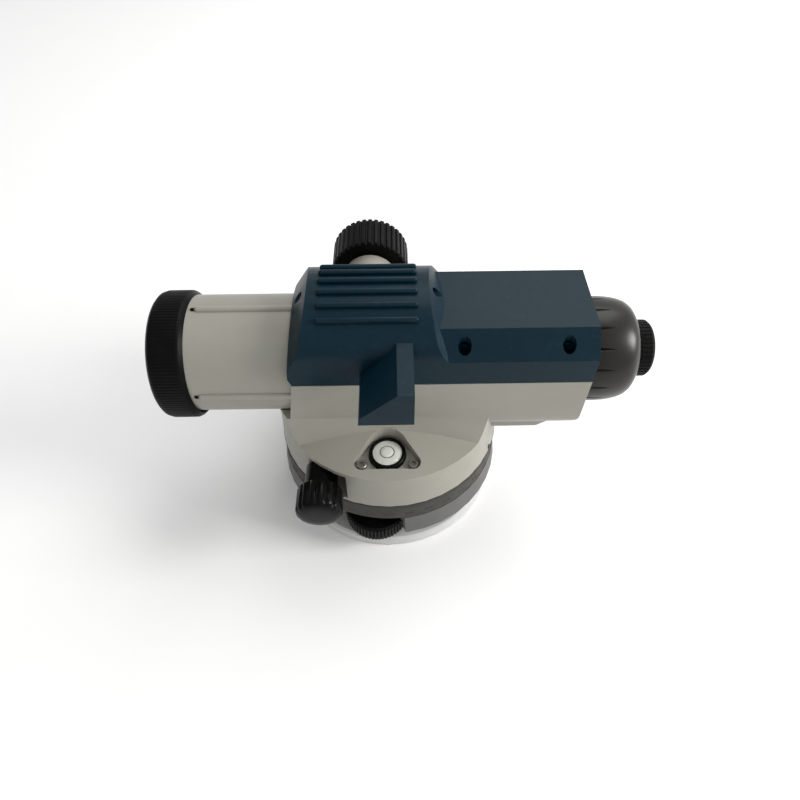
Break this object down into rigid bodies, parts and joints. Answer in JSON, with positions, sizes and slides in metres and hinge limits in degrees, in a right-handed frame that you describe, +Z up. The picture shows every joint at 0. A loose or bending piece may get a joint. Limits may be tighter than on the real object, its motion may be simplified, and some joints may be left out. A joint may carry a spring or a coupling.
{
  "type": "automatic level",
  "caption": "Surveyor's automatic level: ribbed-tube telescope under a blue cover, on a drum with a graduated ring and a three-screw levelling base.",
  "frame": {"origin": "on the vertical axis at the base plate's underside, where the tripod screw enters", "axes": "+Z up along the vertical axis, +X along the telescope towards the eyepiece, -Y the side of the circular level"},
  "size_m": [0.2142, 0.1346, 0.124],
  "materials": {
    "grey_paint": "warm grey powder coat, satin",
    "mid_grey_paint": "mid grey powder coat, satin",
    "pale_paint": "pale grey paint, satin",
    "ring_grey": "matt dark grey with fine graduations",
    "blue_plastic": "dark petrol blue, fine moulded texture",
    "black_plastic": "black moulded plastic, satin",
    "black_anodised": "black anodised, matt",
    "steel": "turned steel",
    "brass": "turned brass",
    "aluminium": "machined aluminium",
    "glass": "coated optical glass",
    "mirror": "silvered glass"
  },
  "bodies": {
    "base": {"base_plate": "pale_paint", "spring_plate": "steel", "spring_plate_screw_front": "steel", "spring_plate_screw_left": "steel", "spring_plate_screw_right": "steel"},
    "foot_front": {"foot_knob_front": "black_plastic", "foot_screw_front": "steel"},
    "foot_left": {"foot_knob_left": "black_plastic", "foot_screw_left": "steel"},
    "foot_right": {"foot_knob_right": "black_plastic", "foot_screw_right": "steel"},
    "tilt_ball": {"foot_ball_left": "steel"},
    "head": {"tribrach": "mid_grey_paint", "axis_sleeve": "steel"},
    "circle": {"horizontal_circle": "ring_grey"},
    "alidade": {"main_body": "grey_paint", "drum_floor": "aluminium", "spindle": "steel", "telescope_tube": "grey_paint", "objective_hood": "black_plastic", "objective_cell": "black_anodised", "objective_retaining_ring": "black_anodised", "objective_crown_lens": "glass", "objective_flint_lens": "glass", "top_cover": "blue_plastic", "cover_screw_1": "steel", "cover_screw_2": "steel", "cover_screw_3": "steel", "cover_screw_4": "steel", "mirror_hood": "blue_plastic", "bubble_mirror": "mirror", "level_holder": "black_plastic", "level_vial": "glass", "level_screw_1": "steel", "level_screw_2": "steel", "focus_bush": "grey_paint", "guide_sleeve": "aluminium", "compensator_frame": "aluminium", "fixed_prism_front": "glass", "fixed_prism_rear": "glass", "eyepiece_tube": "black_anodised", "eyepiece_cap": "black_plastic", "reticle": "glass"},
    "focus_drive": {"focus_knob": "black_plastic", "focus_pinion": "steel"},
    "focus_carriage": {"focusing_cell": "brass", "focus_rack": "brass", "focusing_lens": "glass"},
    "tangent_drive": {"tangent_shaft": "steel", "tangent_knob_near": "black_plastic", "tangent_knob_far": "black_plastic"},
    "tangent_wheel": {"worm_wheel": "brass"},
    "eyepiece_ring": {"eyepiece_ring": "black_plastic"},
    "eyepiece_slide": {"eyepiece_barrel": "black_anodised", "eye_lens": "glass"},
    "pendulum": {"pendulum_carrier": "brass", "pendulum_prism": "glass", "damper_piston": "aluminium", "suspension_ribbon_near": "steel", "suspension_ribbon_far": "steel"}
  },
  "joints": [
    {"name": "foot_front_turn", "type": "hinge", "parent": "base", "child": "foot_front", "pos_m": [-0.00649, -0.04008, 0.0055], "axis": [0, 0, 1], "range_deg": [-540, 540]},
    {"name": "foot_left_turn", "type": "hinge", "parent": "base", "child": "foot_left", "pos_m": [-0.03146, 0.02566, 0.0055], "axis": [0, 0, 1], "range_deg": [-300, 300]},
    {"name": "foot_right_turn", "type": "hinge", "parent": "base", "child": "foot_right", "pos_m": [0.03795, 0.01442, 0.0055], "axis": [0, 0, 1], "range_deg": [-300, 300]},
    {"name": "head_pitch", "type": "hinge", "parent": "base", "child": "tilt_ball", "pos_m": [-0.03146, 0.02566, 0.0055], "axis": [0.9871, -0.1599, 0], "range_deg": [-1.5, 1.5]},
    {"name": "head_roll", "type": "hinge", "parent": "tilt_ball", "child": "head", "pos_m": [-0.00649, -0.04008, 0.0055], "axis": [0.1599, 0.9871, 0], "range_deg": [-1.5, 1.5]},
    {"name": "circle_turn", "type": "hinge", "parent": "head", "child": "circle", "pos_m": [0, 0, 0.03], "axis": [0, 0, 1], "continuous": true},
    {"name": "alidade_turn", "type": "hinge", "parent": "head", "child": "alidade", "pos_m": [0, 0, 0.04], "axis": [0, 0, 1], "continuous": true},
    {"name": "focus_turn", "type": "hinge", "parent": "alidade", "child": "focus_drive", "pos_m": [-0.0083, 0.04, 0.088], "axis": [0, 1, 0], "range_deg": [-152, 152]},
    {"name": "focus_travel", "type": "slide", "parent": "alidade", "child": "focus_carriage", "axis": [1, 0, 0], "range_m": [-0.0081, 0.0081]},
    {"name": "tangent_turn", "type": "hinge", "parent": "alidade", "child": "tangent_drive", "pos_m": [-0.0305, 0, 0.0495], "axis": [0, 1, 0], "continuous": true},
    {"name": "wheel_turn", "type": "hinge", "parent": "alidade", "child": "tangent_wheel", "pos_m": [0, 0, 0.0495], "axis": [0, 0, 1], "continuous": true},
    {"name": "eyepiece_turn", "type": "hinge", "parent": "alidade", "child": "eyepiece_ring", "pos_m": [0.112, 0, 0.0854], "axis": [1, 0, 0], "range_deg": [-120, 120]},
    {"name": "eyepiece_travel", "type": "slide", "parent": "alidade", "child": "eyepiece_slide", "axis": [1, 0, 0], "range_m": [-0.0021, 0.0021]},
    {"name": "pendulum_swing", "type": "hinge", "parent": "alidade", "child": "pendulum", "pos_m": [0.052, 0, 0.1005], "axis": [0, 1, 0], "range_deg": [-1, 1]}
  ],
  "couplings": [
    {"joint": "head_pitch", "follows": "foot_front_turn", "ratio": 0.0026134},
    {"joint": "head_roll", "follows": "foot_left_turn", "ratio": -0.0045265},
    {"joint": "foot_right_turn", "follows": "foot_left_turn", "ratio": -1},
    {"joint": "focus_travel", "follows": "focus_turn", "m_per_rad": -0.003},
    {"joint": "wheel_turn", "follows": "tangent_turn", "ratio": 0.027778},
    {"joint": "eyepiece_travel", "follows": "eyepiece_turn", "m_per_rad": 0.00095}
  ]
}
